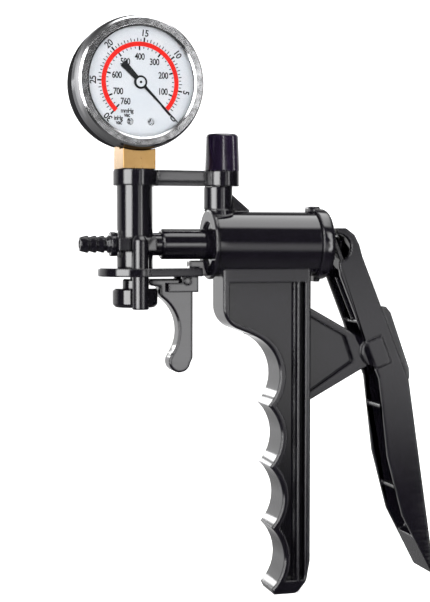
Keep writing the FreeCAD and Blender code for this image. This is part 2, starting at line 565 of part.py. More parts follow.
def gauge_body():
    """Brass shank, black case, chrome bezel and glass."""
    v = VALUES
    width = v["shank_width"]
    case_bottom = v["gauge_z"] - v["case_radius"] + 4.4
    bar = Part.makeBox(width, width, case_bottom - v["column_top"],
                       Vector(-width / 2, -width / 2, v["column_top"]))
    thread = Part.makeCylinder(v["thread_radius"], v["column_top"] - 13.5, Vector(0, 0, 13.5))
    hole = Part.makeCylinder(1.4, 12, Vector(0, 0, 13))
    bezel_room = Part.makeCylinder(v["bezel_radius"] + 0.1, 9, Vector(0, -1.1, v["gauge_z"]),
                                   Vector(0, -1, 0))
    shank = shape_piece("gauge_shank", bar.fuse(thread).cut(hole).cut(bezel_room))
    shank.Placement = Placement(Vector(v["column_x"], 0, 0), Rotation(Vector(0, 0, 1), TURN))
    subpart("gauge_shank", shank)

    outer, wall = v["case_radius"], v["case_wall"]
    drum = revolved([(0, v["case_back"]), (outer - 3, v["case_back"]), (outer - 0.8, v["case_back"] + 1),
                     (outer, v["case_back"] + 3), (outer, v["case_front"]),
                     (outer - wall, v["case_front"]), (outer - wall, v["case_back"] + 3),
                     (outer - 3.4, v["case_back"] + wall), (0, v["case_back"] + wall)])
    gap = Part.makeBox(width, 12, width, Vector(-width / 2, -outer - 2, -width / 2))
    plug_hole = Part.makeCylinder(3.2, 4, Vector(0, 9, v["case_back"] - 1))
    subpart("gauge_case", face_gauge(shape_piece("gauge_case", drum.cut(gap).cut(plug_hole))))
    plug = Part.makeCylinder(3.2, wall, Vector(0, 9, v["case_back"]))
    head = Part.makeCylinder(4, 0.6, Vector(0, 9, v["case_back"] - 0.6))
    subpart("case_plug", face_gauge(shape_piece("case_plug", plug.fuse(head))))

    front, window = v["bezel_front"], v["window_radius"]
    bezel = revolved([(outer, 1.2), (v["bezel_radius"] - 0.2, 1.2), (v["bezel_radius"], 1.8),
                      (v["bezel_radius"], 5.4), (v["bezel_radius"] - 0.25, 7),
                      (v["bezel_front_radius"] + 0.2, front - 0.6), (v["bezel_front_radius"] - 0.4, front),
                      (window + 0.6, front), (window, front - 0.4), (window, front - 1.0),
                      (v["dial_radius"] + 0.4, front - 1.0), (v["dial_radius"] + 0.4, v["case_front"]),
                      (outer, v["case_front"])])
    subpart("gauge_bezel", face_gauge(shape_piece("gauge_bezel", bezel)))
    subpart("gauge_glass", gauge_disc("gauge_glass", v["dial_radius"] + 0.4, front - 1.9, front - 1.0))
    subpart("gauge_dial", gauge_disc("gauge_dial", v["dial_radius"] + 0.4,
                                     v["dial_face"] - v["dial_thick"], v["dial_face"], 1.0))
    screws = [Part.makeCylinder(1.15, 0.45, Vector(x, -12.65, v["dial_face"])) for x in (-3.5, 3.5)]
    subpart("dial_screws", face_gauge(shape_piece("dial_screws", Part.makeCompound(screws))))


def gauge_works():
    """The Bourdon tube, the movement and the pointer behind the glass."""
    v = VALUES
    # The tube starts on the socket block, and its free end moves the sector gear.
    ring = Part.makeTorus(14.5, 1.6, Vector(0, 0, -3.5), Vector(0, 0, 1), 0, 360, 250)
    ring.rotate(Vector(), Vector(0, 0, 1), -70)
    subpart("bourdon_tube", face_gauge(shape_piece("bourdon_tube", ring)))
    block = Part.makeBox(11, 7.6, 8, Vector(-5.5, -16.4, -5.5))
    subpart("tube_socket", face_gauge(shape_piece("tube_socket", block)))
    back = Part.makeBox(11, 19, 1, Vector(-5.5, -8.6, -2))
    front = Part.makeBox(11, 19, 1, Vector(-5.5, -8.6, 3.2))
    pillars = [Part.makeCylinder(0.8, 4.2, Vector(x, y, -1)) for x in (-4.3, 4.3) for y in (-7.4, 9.2)]
    frame = back.fuse([front] + pillars)
    frame = frame.cut(Part.makeCylinder(0.5 + 0.05, 9, Vector(0, 0, -3)))
    frame = frame.cut(Part.makeCylinder(0.7 + 0.05, 9, Vector(0, -5.6, -3)))
    subpart("movement_frame", face_gauge(shape_piece("movement_frame", frame)))

    pinion = Part.makeCylinder(0.5, v["pointer_plane"] + 1.7, Vector(0, 0, -1.8))
    pinion = pinion.fuse(Part.makeCylinder(v["pinion_radius"], 2, Vector(0, 0, 0)))
    subpart("pointer_arbor", face_gauge(shape_piece("pointer_arbor", pinion)))
    reach = 5.6 - v["pinion_radius"] - 0.1
    fan = Part.makeCylinder(reach, 0.8, Vector(0, 0, 0.6), Vector(0, 0, 1), 60)
    fan.rotate(Vector(), Vector(0, 0, 1), 60)
    sector = fan.fuse([Part.makeCylinder(1.2, 0.8, Vector(0, 0, 0.6)),
                       Part.makeCylinder(0.7, 6.2, Vector(0, 0, -2.0))])
    sector.translate(Vector(0, -5.6, 0))
    subpart("sector_gear", face_gauge(shape_piece("sector_gear", sector)))

    half = 0.45
    plane = v["pointer_plane"] - v["dial_face"]
    needle = Part.Face(Part.makePolygon([
        Vector(-v["pointer_tail"], 1.15), Vector(-v["pointer_tail"], -1.15), Vector(-2.2, -0.8),
        Vector(2.5, -half), Vector(v["pointer_length"], -0.12), Vector(v["pointer_length"], 0.12),
        Vector(2.5, half), Vector(-2.2, 0.8), Vector(-v["pointer_tail"], 1.15)])).extrude(Vector(0, 0, 0.25))
    hub = Part.makeCylinder(2.15, 0.45, Vector(0, 0, -0.1))
    pointer = needle.fuse(hub).cut(Part.makeCylinder(0.5, 2, Vector(0, 0, -1)))
    pointer.rotate(Vector(), Vector(0, 0, 1), -45)
    pointer.translate(Vector(0, 0, v["dial_face"] + plane / 2))
    subpart("pointer", face_gauge(shape_piece("pointer", pointer)))


# ---------------------------------------------------------------- rear of the barrel
def rear_end():
    """The cap that closes the barrel, with its two lugs, and the rod's bush."""
    ring = turned("cap_ring", [
        ("barrel_rear", "bush_radius"), ("barrel_rear", "cap_radius"), ("cap_rear - 1.6", "cap_radius"),
        ("cap_rear - 0.5", "cap_radius - 0.5"), ("cap_rear", "cap_radius - 1.6"),
        ("cap_rear", "bush_radius"),
    ])
    top = box("cap_lug_top", ("barrel_rear - 2", "barrel_rear + 2"), ("-2.2", "2.2"),
              ("10", "cap_radius + 0.7"))
    bottom = box("cap_lug_bottom", ("barrel_rear", "barrel_rear + 2"), ("-2.2", "2.2"),
                 ("-cap_radius - 0.8", "-10"))
    room = cylinder("cap_lug_room", "barrel_radius + 0.02", "10", ("barrel_rear - 10", "0", "0"), "X")
    subpart("rear_cap", cut("rear_cap", fuse("cap_solid", ring, top, bottom), room))
    subpart("rod_bush", tube("rod_bush", "bush_radius", "rod_radius + running_gap",
                             "bush_rear - barrel_rear", ("barrel_rear", "0", "0"), "X"))


def piston():
    """Rod, head, cup seal and the screw that holds them together."""
    rod = turned("rod_blank", [
        ("head_rear", "0"), ("head_rear", "rod_radius"), ("rod_neck_front", "rod_radius"),
        ("rod_neck_front", "rod_neck_radius"), ("rod_head_front", "rod_neck_radius"),
        ("rod_head_front", "rod_radius"), ("rod_end - 1.5", "rod_radius - 0.1"),
        ("rod_end - 0.5", "rod_radius - 0.9"), ("rod_end", "rod_radius - 2.2"), ("rod_end", "0"),
    ])
    hole = cylinder("rod_screw_hole", "1.2", "7", ("head_rear - 1", "0", "0"), "X")
    subpart("piston_rod", cut("piston_rod", rod, hole))
    head = turned("head_blank", [
        ("head_front", "1.2"), ("head_front", "head_radius - 0.5"), ("head_front + 0.5", "head_radius"),
        ("head_front + 1", "head_radius"), ("head_front + 1", "6"), ("head_front + 3", "6"),
        ("head_front + 3", "head_radius"), ("head_rear", "head_radius"), ("head_rear", "1.2"),
    ])
    subpart("piston_head", head)
    subpart("piston_cup", tube("piston_cup", "barrel_bore - running_gap", "6", "2",
                               ("head_front + 1", "0", "0"), "X"))
    shank = cylinder("screw_shank", "1.2", "10", ("head_front", "0", "0"), "X")
    cheese = cylinder("screw_head", "2.6", "0.8", ("head_front - 0.8", "0", "0"), "X")
    subpart("piston_screw", fuse("piston_screw", shank, cheese))


# ---------------------------------------------------------------- squeeze lever
def lever():
    """The channel-section lever, its ribs, its fork and its pivot pin."""
    outside = slab("lever_outside", "XZ_Plane", [
        ("76", "5.4"), ("79.4", "5.4"), ("82.4", "3.1"), ("84.2", "-0.3"), ("85.3", "-4.2"),
        ("102.5", "-46.6"), ("112.5", "-113.4"), ("111.7", "-114.4"), ("100.6", "-93.4"),
        ("95", "-72.6"), ("92.9", "-56.2"), ("91.8", "-46"), ("77.5", "-10.6"), ("76.9", "-6"),
    ], "2 * lever_half")
    back = slab("lever_back_pad", "XZ_Plane", [
        ("90.5", "-20.8"), ("94.6", "-21.4"), ("96.3", "-23.4"), ("103.2", "-42.6"),
        ("103.4", "-46.2"), ("101.5", "-47.6"),
    ], "2 * channel_half + 1")
    channel = slab("lever_channel", "XZ_Plane", [
        ("70", "4.3"), ("78.9", "4.3"), ("81.6", "2.4"), ("83.1", "-0.6"), ("83.7", "-4.8"),
        ("100.6", "-47"), ("108.2", "-98.4"), ("106.9", "-100.4"), ("104.2", "-101.4"),
        ("97", "-93"), ("86", "-55"), ("70", "-12"),
    ], "2 * channel_half")
    notch = cylinder("lever_notch", "4.7", "2 * lever_half + 2", ("fork_x + 0.1", "-lever_half - 1", "-1.2"),
                     "Y")
    boss_room = cylinder("lever_boss_room", "boss_radius + 0.6", "2 * channel_half",
                         ("pivot_x", "-channel_half", "pivot_z"), "Y")
    shell = cut("lever_shell", fuse("lever_blank", outside, back), channel, notch, boss_room)

    ribs = []
    for i, (x_front, z_front, x_rear, z_rear) in enumerate(((93.0, -54.9, 103, -58.2),
                                                            (98.6, -83.3, 107, -86.2))):
        ribs.append(slab("lever_rib_%d" % i, "XZ_Plane", [
            (x_front, z_front), (x_rear, z_rear), (x_rear, z_rear - 1.3), (x_front, z_front - 1.3)],
            "2 * channel_half + 1"))
    middle = slab("lever_middle_rib", "XZ_Plane", [
        ("78.4", "-11.4"), ("84.7", "-26.6"), ("91.2", "-25.4"), ("85.6", "-11.4")], "1.5")
    brace_bar = slab("lever_cross_rib", "XZ_Plane", [
        ("84.4", "-25.9"), ("91.2", "-24.2"), ("91.7", "-25.4"), ("84.8", "-27.1")],
        "2 * channel_half + 1")
    lean = math.degrees(math.atan2(VALUES["pivot_x"] - VALUES["fork_x"], -VALUES["pivot_z"]))
    thick = VALUES["fork_thick"]
    plate = Part.makeBox(thick, 2 * VALUES["channel_half"] + 0.6, 12,
                         Vector(-thick / 2, -VALUES["channel_half"] - 0.3, -9.4))
    gap = VALUES["rod_neck_radius"] + 0.35
    slot = Part.makeBox(thick + 2, 2 * gap, 20, Vector(-thick, -gap, -3.0))
    slot = slot.fuse(Part.makeCylinder(gap, thick + 2, Vector(-thick, 0, -3.0), Vector(1, 0, 0)))
    fork = shape_piece("lever_fork", plate.cut(slot))
    fork.Placement = Placement(Vector(VALUES["fork_x"], 0, 0), Rotation(Vector(0, 1, 0), -lean))

    solid = fuse("lever_solid", shell, middle, brace_bar, fork, *ribs)
    caps = []
    for side, y in (("near", -VALUES["lever_half"] - 0.5), ("far", VALUES["lever_half"] - 0.5)):
        cap = shape_piece("lever_pin_cap_" + side, Part.makeBox(6, 1, 9.8, Vector(-3, 0, -4.9)))
        cap.Placement = Placement(Vector(VALUES["pivot_x"], y, VALUES["pivot_z"]),
                                  Rotation(Vector(0, 1, 0), -21))
        caps.append(cap)
    hole = cylinder("lever_pin_hole", "pivot_pin_radius", "2 * lever_half - 1",
                    ("pivot_x", "0.5 - lever_half", "pivot_z"), "Y")
    subpart("squeeze_lever", cut("squeeze_lever", fuse("lever_capped", solid, *caps), hole))
    subpart("lever_pin", cylinder("lever_pin", "pivot_pin_radius", "2 * lever_half - 1",
                                  ("pivot_x", "0.5 - lever_half", "pivot_z"), "Y"))


for make in (pump_body, front_end, valve_column, hose_barb, finger_plate, vent_tube, release_valve,
             springs, trigger, brace, gauge_body, gauge_works, rear_end, piston, lever):
    make()
doc.recompute()

faults = [item.Name for item in doc.Objects if {"Invalid", "Error"} & set(item.State)]
for node, item in SUBPARTS.items():
    if item.Shape.isNull() or not item.Shape.isValid():
        faults.append(node)
if faults:
    raise RuntimeError("failed: " + ", ".join(faults))

os.makedirs("parts", exist_ok=True)
for node, item in SUBPARTS.items():
    item.Shape.exportStep("parts/%s.step" % node)
    print(node, round(item.Shape.Volume, 1), len(item.Shape.Solids))
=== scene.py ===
import json
import math

import bmesh
import bpy
from mathutils import Matrix, Vector


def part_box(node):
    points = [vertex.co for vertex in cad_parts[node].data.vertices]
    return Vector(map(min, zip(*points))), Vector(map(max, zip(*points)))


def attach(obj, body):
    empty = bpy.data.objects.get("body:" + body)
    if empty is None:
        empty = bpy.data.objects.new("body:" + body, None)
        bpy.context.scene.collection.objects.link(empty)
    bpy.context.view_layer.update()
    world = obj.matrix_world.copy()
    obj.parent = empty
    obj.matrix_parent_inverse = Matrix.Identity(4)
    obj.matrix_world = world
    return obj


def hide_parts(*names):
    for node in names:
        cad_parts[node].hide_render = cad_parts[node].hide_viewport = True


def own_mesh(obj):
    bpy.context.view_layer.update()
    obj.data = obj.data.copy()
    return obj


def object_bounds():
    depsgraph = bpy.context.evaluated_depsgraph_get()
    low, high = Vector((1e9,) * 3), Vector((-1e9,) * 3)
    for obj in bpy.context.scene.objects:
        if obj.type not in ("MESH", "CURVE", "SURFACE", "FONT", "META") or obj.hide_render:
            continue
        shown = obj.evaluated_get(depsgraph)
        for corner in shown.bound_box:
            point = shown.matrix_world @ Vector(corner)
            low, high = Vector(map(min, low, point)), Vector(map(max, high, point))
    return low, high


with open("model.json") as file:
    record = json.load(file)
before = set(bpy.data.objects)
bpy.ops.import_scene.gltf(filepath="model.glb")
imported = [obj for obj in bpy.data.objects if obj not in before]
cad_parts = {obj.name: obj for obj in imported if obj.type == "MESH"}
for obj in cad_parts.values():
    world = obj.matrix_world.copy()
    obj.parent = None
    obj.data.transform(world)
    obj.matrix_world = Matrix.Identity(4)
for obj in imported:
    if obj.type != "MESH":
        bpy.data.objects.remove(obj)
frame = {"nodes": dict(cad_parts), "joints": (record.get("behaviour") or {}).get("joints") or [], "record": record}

NODES = frame["nodes"]
MM = 0.001
CAD_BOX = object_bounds()


# ---------------------------------------------------------------- camera

CAMERA_PLACE = Vector((-0.08389, -0.43115, 0.00135))
CAMERA_TURN, CAMERA_DIP = math.radians(15.5), math.radians(2.606)
CAMERA_LENS, SENSOR_WIDTH = 80.13, 36


def make_camera():
    """The viewpoint: round to the left of square-on, about level with the barrel."""
    data = bpy.data.cameras.new("camera")
    data.lens, data.sensor_width = CAMERA_LENS, SENSOR_WIDTH
    data.clip_start, data.clip_end = 0.01, 20
    camera = bpy.data.objects.new("camera", data)
    bpy.context.collection.objects.link(camera)
    forward = Vector((math.sin(CAMERA_TURN) * math.cos(CAMERA_DIP),
                      math.cos(CAMERA_TURN) * math.cos(CAMERA_DIP), -math.sin(CAMERA_DIP)))
    camera.location = CAMERA_PLACE
    camera.rotation_mode = "QUATERNION"
    camera.rotation_quaternion = forward.to_track_quat("-Z", "Y")
    bpy.context.scene.camera = camera


# ---------------------------------------------------------------- node helpers

def node(tree, kind, inputs=None, **settings):
    """Adds a shader node; inputs are values or sockets by name or number."""
    made = tree.nodes.new(kind)
    for name, value in settings.items():
        setattr(made, name, value)
    for name, value in (inputs or {}).items():
        socket = made.inputs[name]
        if isinstance(value, bpy.types.NodeSocket):
            tree.links.new(value, socket)
        else:
            socket.default_value = value
    return made


def math_node(tree, operation, first, second=0.0, clamp=False):
    """One arithmetic step's result."""
    return node(tree, "ShaderNodeMath", {0: first, 1: second}, operation=operation,
                use_clamp=clamp).outputs[0]


def remap(tree, value, low, high, to_low, to_high, smooth=False):
    """The value moved from one range to another, held at the ends."""
    kind = "SMOOTHSTEP" if smooth else "LINEAR"
    return node(tree, "ShaderNodeMapRange", {
        "Value": value, "From Min": low, "From Max": high, "To Min": to_low, "To Max": to_high,
    }, interpolation_type=kind).outputs["Result"]


def mix_colour(tree, factor, first, second):
    """A blend of two colours."""
    made = node(tree, "ShaderNodeMix", {"Factor": factor}, data_type="RGBA")
    for name, value in (("A", first), ("B", second)):
        socket = next(s for s in made.inputs if s.name == name and s.type == "RGBA")
        if isinstance(value, bpy.types.NodeSocket):
            tree.links.new(value, socket)
        else:
            socket.default_value = (*value, 1)
    return next(s for s in made.outputs if s.type == "RGBA")


def noise(tree, scale, detail=3.0, stretch=(1, 1, 1)):
    """Noise over the object's own space; scale is in cells per metre."""
    place = node(tree, "ShaderNodeTexCoord").outputs["Object"]
    if stretch != (1, 1, 1):
        place = node(tree, "ShaderNodeMapping", {"Vector": place, "Scale": stretch}).outputs[0]
    return node(tree, "ShaderNodeTexNoise",
                {"Vector": place, "Scale": scale, "Detail": detail}).outputs["Fac"]


def round_off(tree, radius):
    """The normal with sharp edges rounded, and a mask that is 1 along those edges."""
    soft = node(tree, "ShaderNodeBevel", {"Radius": radius}, samples=4).outputs[0]
    flat = node(tree, "ShaderNodeNewGeometry").outputs["Normal"]
    alike = node(tree, "ShaderNodeVectorMath", {0: soft, 1: flat},
                 operation="DOT_PRODUCT").outputs["Value"]
    return soft, remap(tree, alike, 0.98, 0.85, 0.0, 1.0)


def new_material(name):
    """An empty node material and its main shader."""
    material = bpy.data.materials.new(name)
    material.use_nodes = True
    return material, material.node_tree, material.node_tree.nodes["Principled BSDF"]


def feed(tree, shader, **links):
    """Links sockets to the shader's inputs, written with underscores for spaces."""
    for name, socket in links.items():
        tree.links.new(socket, shader.inputs[name.replace("_", " ")])


# ---------------------------------------------------------------- materials

def moulded(name, dark, light, rough, grain=(1600, 0.012), wear_and_highlight=0.4, edge=0.45 * MM, shine=0.5):
    """Moulded plastic or rubber: faint flow marks, a fine grain, and edges painted paler, partly as rubbed wear
    and partly as a painted edge highlight.
    """
    material, tree, shader = new_material(name)
    shader.inputs["Specular IOR Level"].default_value = shine
    flow = noise(tree, 90, 4)
    fine = noise(tree, grain[0], 2)
    streak = noise(tree, 700, 3, (0.25, 1, 1.6))
    rounded, edges = round_off(tree, edge)
    # Painted edge highlight: the edge mask pales the base colour, partly as rubbed wear and partly standing in for
    # the light lines along rounded edges; it also roughens the edges as wear.
    wear_and_edge_highlight = math_node(tree, "MULTIPLY", edges, remap(tree, noise(tree, 500, 4), 0.35, 0.7, 0.1, wear_and_highlight))
    body = mix_colour(tree, remap(tree, flow, 0.3, 0.7, 0, 1), dark, light)
    # The paler edge colour: partly worn plastic, partly a painted highlight.
    worn_and_highlight_colour = tuple(min(1, 0.02 + 1.5 * part) for part in light)
    feed(tree, shader, Base_Color=mix_colour(tree, wear_and_edge_highlight, body, worn_and_highlight_colour))
    gloss = remap(tree, streak, 0.35, 0.75, rough[0], rough[1])
    feed(tree, shader, Roughness=math_node(
        tree, "ADD", gloss, math_node(tree, "MULTIPLY", wear_and_edge_highlight, 0.18), True))
    height = math_node(tree, "ADD", math_node(tree, "MULTIPLY", flow, 1.5), fine)
    bump = node(tree, "ShaderNodeBump", {
        "Strength": grain[1], "Distance": 0.1 * MM, "Height": height, "Normal": rounded})
    feed(tree, shader, Normal=bump.outputs[0])
    return material


def metal(name, base, tarnish, rough, stretch, scale=900, bump_strength=0.05, rim=1.0):
    """Plated or turned metal: fine tool marks, tarnish, brighter edges; rim tints its glancing gloss."""
    material, tree, shader = new_material(name)
    shader.inputs["Metallic"].default_value = 1.0
    shader.inputs["Specular Tint"].default_value = (rim, rim, rim, 1)
    patches = noise(tree, 160, 5)
    marks = noise(tree, scale, 4, stretch)
    rounded, edges = round_off(tree, 0.25 * MM)
    # Edges get a brighter base colour, 1.2 times the metal's own, mixed in at half strength along the edge mask.
    bright = math_node(tree, "MULTIPLY", edges, 0.5)
    colour = mix_colour(tree, remap(tree, patches, 0.4, 0.75, 0, 1), base, tarnish)
    edge_brightened_tone = tuple(min(1, 1.2 * part) for part in base)
    feed(tree, shader, Base_Color=mix_colour(tree, bright, colour, edge_brightened_tone))
    feed(tree, shader, Roughness=remap(tree, marks, 0.3, 0.75, rough[0], rough[1]))
    bump = node(tree, "ShaderNodeBump", {
        "Strength": bump_strength, "Distance": 0.05 * MM, "Height": marks, "Normal": rounded})
    feed(tree, shader, Normal=bump.outputs[0])
    return material


def printed(name, ink, faded):
    """Printed or enamelled surface with slightly uneven ink."""
    material, tree, shader = new_material(name)
    shader.inputs["Specular IOR Level"].default_value = 0.15
    patches = noise(tree, 1400, 4)
    feed(tree, shader, Base_Color=mix_colour(tree, remap(tree, patches, 0.3, 0.75, 0, 1), ink, faded))
    feed(tree, shader, Roughness=remap(tree, noise(tree, 500, 3), 0.3, 0.7, 0.3, 0.5))
    bump = node(tree, "ShaderNodeBump", {
        "Strength": 0.03, "Distance": 0.05 * MM, "Height": noise(tree, 3500, 2)})
    feed(tree, shader, Normal=bump.outputs[0])
    return material


def clear_glass(name):
    """Flat window glass: see-through, with a faint blue cast and smudged gloss."""
    material, tree, shader = new_material(name)
    tree.nodes.remove(shader)
    cast = mix_colour(tree, remap(tree, noise(tree, 120, 3), 0.3, 0.7, 0, 1),
                      (0.985, 0.99, 1.0), (0.96, 0.975, 0.99))
    see_through = node(tree, "ShaderNodeBsdfTransparent", {"Color": cast})
    smudge = remap(tree, noise(tree, 260, 5), 0.45, 0.75, 0.02, 0.09)
    mirror = node(tree, "ShaderNodeBsdfAnisotropic", {"Roughness": smudge})
    share = node(tree, "ShaderNodeFresnel", {"IOR": 1.45}).outputs[0]
    both = node(tree, "ShaderNodeMixShader", {
        0: share, 1: see_through.outputs[0], 2: mirror.outputs[0]})
    tree.links.new(both.outputs[0], tree.nodes["Material Output"].inputs["Surface"])
    return material


def make_materials():
    """Every finish on the pump, by its slot in the record, and the dial's inks."""
    return {
        "black_plastic": moulded("black_plastic", (0.0019, 0.0016, 0.0027), (0.003, 0.0026, 0.004),
                                 (0.035, 0.085), edge=0.9 * MM),
        "black_knob": moulded("black_knob", (0.0019, 0.0016, 0.0026), (0.0032, 0.0027, 0.004),
                              (0.05, 0.1), (2200, 0.02)),
        "cap_rubber": moulded("cap_rubber", (0.0045, 0.002, 0.009), (0.007, 0.0035, 0.0125),
                              (0.17, 0.24), (2600, 0.04), 0.4),
        "case_black": moulded("case_black", (0.007, 0.007, 0.0075), (0.011, 0.011, 0.0115),
                              (0.4, 0.5), (3000, 0.08), 0.5, shine=0.0),
        "rubber": moulded("rubber", (0.018, 0.018, 0.019), (0.03, 0.03, 0.03),
                          (0.5, 0.7), (2400, 0.2), 0.3),
        "white_plastic": moulded("white_plastic", (0.62, 0.61, 0.57), (0.7, 0.69, 0.66),
                                 (0.3, 0.45), (1500, 0.06), 0.3),
        "brass": metal("brass", (0.36, 0.22, 0.087), (0.3, 0.18, 0.066), (0.26, 0.34), (1, 1, 0.12),
                       bump_strength=0.02),
        "chrome": metal("chrome", (0.58, 0.58, 0.59), (0.53, 0.53, 0.55), (0.12, 0.2), (1, 1, 1), 500,
                        0.02, 0.12),
        "steel": metal("steel", (0.62, 0.62, 0.63), (0.5, 0.49, 0.48), (0.18, 0.36), (1, 1, 0.2)),
        "glass": clear_glass("glass"),
        "dial_white": printed("dial_white", (0.66, 0.665, 0.67), (0.7, 0.705, 0.71)),
        "pointer_black": printed("pointer_black", (0.010, 0.010, 0.011), (0.02, 0.02, 0.021)),
        "ink_red": printed("ink_red", (0.78, 0.008, 0.004), (0.82, 0.016, 0.006)),
        "ink_black": printed("ink_black", (0.008, 0.006, 0.006), (0.02, 0.016, 0.016)),
    }


# ---------------------------------------------------------------- CAD nodes: finish and rounded edges

# How wide each node's sharp edges are rounded, in millimetres.
SOFT_EDGES = {
    "squeeze_lever": 0.4, "release_trigger": 0.6, "trigger_bracket": 0.25,
    "brace_strap": 0.3, "finger_plate": 0.3, "valve_column": 0.25, "front_flange": 0.25,
    "rear_cap": 0.35, "post_cap": 0.3, "release_knob": 0.3, "vent_tube": 0.3,
    "outlet_sleeve": 0.25, "hose_barb": 0.12, "gauge_shank": 0.25, "gauge_case": 0.3,
    "piston_rod": 0.2, "lever_pin": 0.2, "trigger_pin": 0.15, "case_plug": 0.2,
}


def slot_of_node():
    """Each CAD node's material slot, from the record."""
    return {part["node"]: part["material_slot"] for part in frame["record"]["subparts"]}


def soften(obj, width):
    """Rounds an object's sharp edges, over faces merged back to flats."""
    weld = obj.modifiers.new("weld", "WELD")
    weld.merge_threshold = 0.002 * MM
    flat = obj.modifiers.new("flat", "DECIMATE")
    flat.decimate_type, flat.angle_limit = "DISSOLVE", math.radians(1.5)
    bevel = obj.modifiers.new("edges", "BEVEL")
    bevel.width, bevel.segments = width, 3
    bevel.limit_method, bevel.angle_limit = "ANGLE", math.radians(32)
    bevel.use_clamp_overlap = False


def finish_node(name, material):
    """Gives a CAD node its material, and rounds its sharp edges where they show."""
    obj = NODES[name]
    obj.data.materials.clear()
    obj.data.materials.append(material)
    if name in SOFT_EDGES:
        soften(obj, SOFT_EDGES[name] * MM)
    normals = obj.modifiers.new("normals", "WEIGHTED_NORMAL")
    normals.weight, normals.keep_sharp = 100, name not in SOFT_EDGES


# ---------------------------------------------------------------- mesh helpers

def add_piece(name, mesh, material, body, place):
    """An object with its finish, at its place, that rides on a body."""
    obj = bpy.data.objects.new(name, mesh)
    bpy.context.collection.objects.link(obj)
    obj.data.materials.append(material)
    obj.matrix_world = place
    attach(obj, body)
    return obj


def mesh_from(name, builder):
    """A new mesh from a function that fills a bmesh."""
    made = bmesh.new()
    builder(made)
    bmesh.ops.recalc_face_normals(made, faces=made.faces)
    mesh = bpy.data.meshes.new(name)
    made.to_mesh(mesh)
    made.free()
    return mesh


def ring_sector(made, inner, outer, start, end, low, high, steps=1):
    """A flat block between two radii and two angles (degrees, counter-clockwise from the right)."""
    rows = []
    for step in range(steps + 1):
        angle = math.radians(start + (end - start) * step / steps)
        spoke = Vector((math.cos(angle), math.sin(angle), 0))
        rows.append([made.verts.new(spoke * radius + Vector((0, 0, height)))
                     for radius, height in ((inner, low), (outer, low), (outer, high), (inner, high))])
    for near, far in zip(rows, rows[1:]):
        for side in range(4):
            after = (side + 1) % 4
            made.faces.new((near[side], far[side], far[after], near[after]))
    made.faces.new(rows[0])
    made.faces.new(reversed(rows[-1]))


def lathe(made, profile, steps=48):
    """Turns (radius, height) points round Z; the first and last points close the shape."""
    rings = []
    for radius, height in profile:
        if radius == 0:
            rings.append([made.verts.new((0, 0, height))])
            continue
        rings.append([made.verts.new((radius * math.cos(2 * math.pi * i / steps),
                                      radius * math.sin(2 * math.pi * i / steps), height))
                      for i in range(steps)])
    for low, high in zip(rings, rings[1:]):
        for i in range(steps):
            j = (i + 1) % steps
            corners = [low[i % len(low)], low[j % len(low)], high[j % len(high)], high[i % len(high)]]
            unique = list(dict.fromkeys(corners))
            if len(unique) > 2:
                made.faces.new(unique)


# ---------------------------------------------------------------- dial

POINTER = next(joint for joint in frame["joints"] if joint["name"] == "pointer_turn")
DIAL_CENTRE = Vector(POINTER["pos_m"])
DIAL_NORMAL = Vector(POINTER["axis"]).normalized()
DIAL_RIGHT = Vector((0, 0, 1)).cross(DIAL_NORMAL)
FULL_SCALE, FULL_ANGLE, DEGREES_PER_INCH = 30, 226.5, 9.48
ZERO_ANGLE = -46.0
LOWEST_TICK = 2
MM_PER_INCH = 25.4
INCH_FIGURES = range(5, FULL_SCALE + 1, 5)
MM_FIGURES = (*range(100, 701, 100), 760)
ARC_INNER, ARC_OUTER = 11.5 * MM, 13.0 * MM
MAIN_TICK_IN, MAIN_TICK_OUT = ARC_INNER - 1.3 * MM, 14.4 * MM
INCH_FIGURE_RADIUS, MM_FIGURE_RADIUS = 15.7 * MM, 8.1 * MM
FIGURE_SIZE, UNIT_SIZE, STROKE_GAIN = 2.95 * MM, 1.95 * MM, 0.06 * MM
MAIN_WIDTH, FINE_WIDTH = 0.55 * MM, 0.28 * MM
INK = 0.04 * MM


def depth(name):
    """How far a node reaches out from the dial's centre along the dial's axis."""
    return max((point.co - DIAL_CENTRE).dot(DIAL_NORMAL) for point in NODES[name].data.vertices)


def dial_matrix(height):
    """From the dial's own plane, X right and Y up, to the frame."""
    place = Matrix.Identity(4)
    place.col[0][:3], place.col[1][:3] = DIAL_RIGHT, Vector((0, 0, 1))
    place.col[2][:3], place.col[3][:3] = DIAL_NORMAL, DIAL_CENTRE + DIAL_NORMAL * height
    return place


def scale_angle(inches):
    """The angle of a reading in inches of mercury."""
    return FULL_ANGLE - DEGREES_PER_INCH * (FULL_SCALE - inches)


def tick(made, angle, inner, outer, width):
    """One scale line."""
    half = math.degrees(width / 2 / outer)
    ring_sector(made, inner, outer, angle - half, angle + half, 0, INK)


def fill_main_ticks(made):
    """The long lines at every 5 inches outside the arc and every 100 millimetres inside it."""
    for inches in INCH_FIGURES:
        tick(made, scale_angle(inches), ARC_OUTER, MAIN_TICK_OUT, MAIN_WIDTH)
    tick(made, ZERO_ANGLE, MAIN_TICK_IN, MAIN_TICK_OUT, MAIN_WIDTH)
    for reading in MM_FIGURES:
        tick(made, scale_angle(reading / MM_PER_INCH), MAIN_TICK_IN, ARC_INNER, MAIN_WIDTH)


def fill_fine_ticks(made):
    """The short lines: every half inch outside the arc, every 20 millimetres inside it."""
    for half in range(2 * LOWEST_TICK, 2 * FULL_SCALE):
        if half % 10:
            length = 1.15 if half % 2 == 0 else 0.85
            tick(made, scale_angle(half / 2), ARC_OUTER + 0.1 * MM,
                 ARC_OUTER + length * MM, FINE_WIDTH)
    for reading in range(60, 760, 20):
        if reading % 100:
            tick(made, scale_angle(reading / MM_PER_INCH), ARC_INNER - 0.75 * MM,
                 ARC_INNER - 0.1 * MM, FINE_WIDTH)


def fill_arc(made):
    """The red band between the two scales."""
    ring_sector(made, ARC_INNER, ARC_OUTER, ZERO_ANGLE + 3, scale_angle(FULL_SCALE) + 2, 0, INK, 120)


